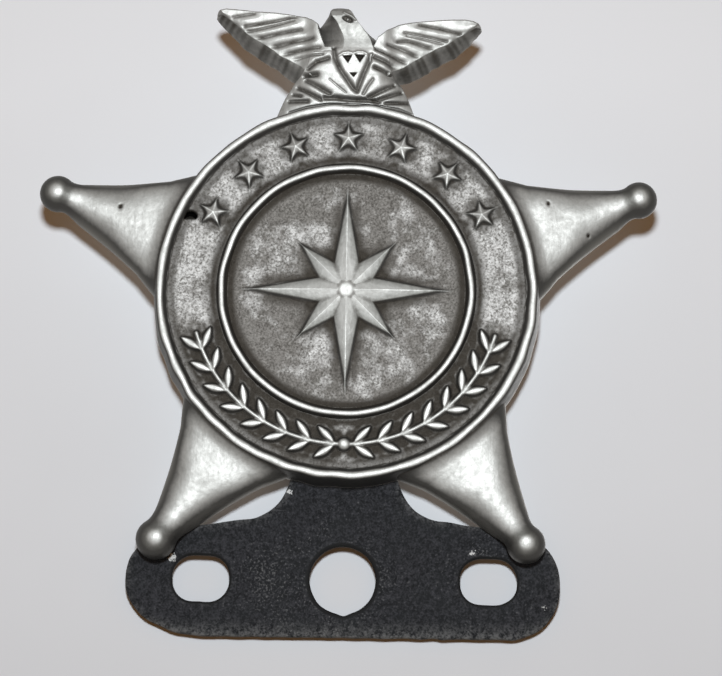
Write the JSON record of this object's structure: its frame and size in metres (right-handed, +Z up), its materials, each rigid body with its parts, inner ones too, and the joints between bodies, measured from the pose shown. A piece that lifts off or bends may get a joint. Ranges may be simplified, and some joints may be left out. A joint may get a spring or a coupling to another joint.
{
  "type": "license plate topper",
  "caption": "Cast metal star with ball-tipped points and an eagle on top, on a black sheet steel bracket that bolts above a vehicle's license plate.",
  "frame": {"origin": "midway between the two plate slots, on the back face of the bracket", "axes": "+Z up towards the eagle, -Y out of the face towards the viewer, +X to the viewer's right"},
  "size_m": [0.1392, 0.0144, 0.1419],
  "materials": {
    "cast_metal": "satin casting with a dark patina in the grounds",
    "black_paint": "worn satin black paint on sheet steel",
    "screw_steel": "dull plated steel, slightly tarnished"
  },
  "bodies": {
    "root": {"star_casting": "cast_metal", "plate_bracket": "black_paint", "lower_screw": "screw_steel", "lower_lock_washer": "screw_steel", "lower_flat_washer": "screw_steel", "upper_screw": "screw_steel", "upper_lock_washer": "screw_steel", "upper_flat_washer": "screw_steel"}
  },
  "joints": []
}
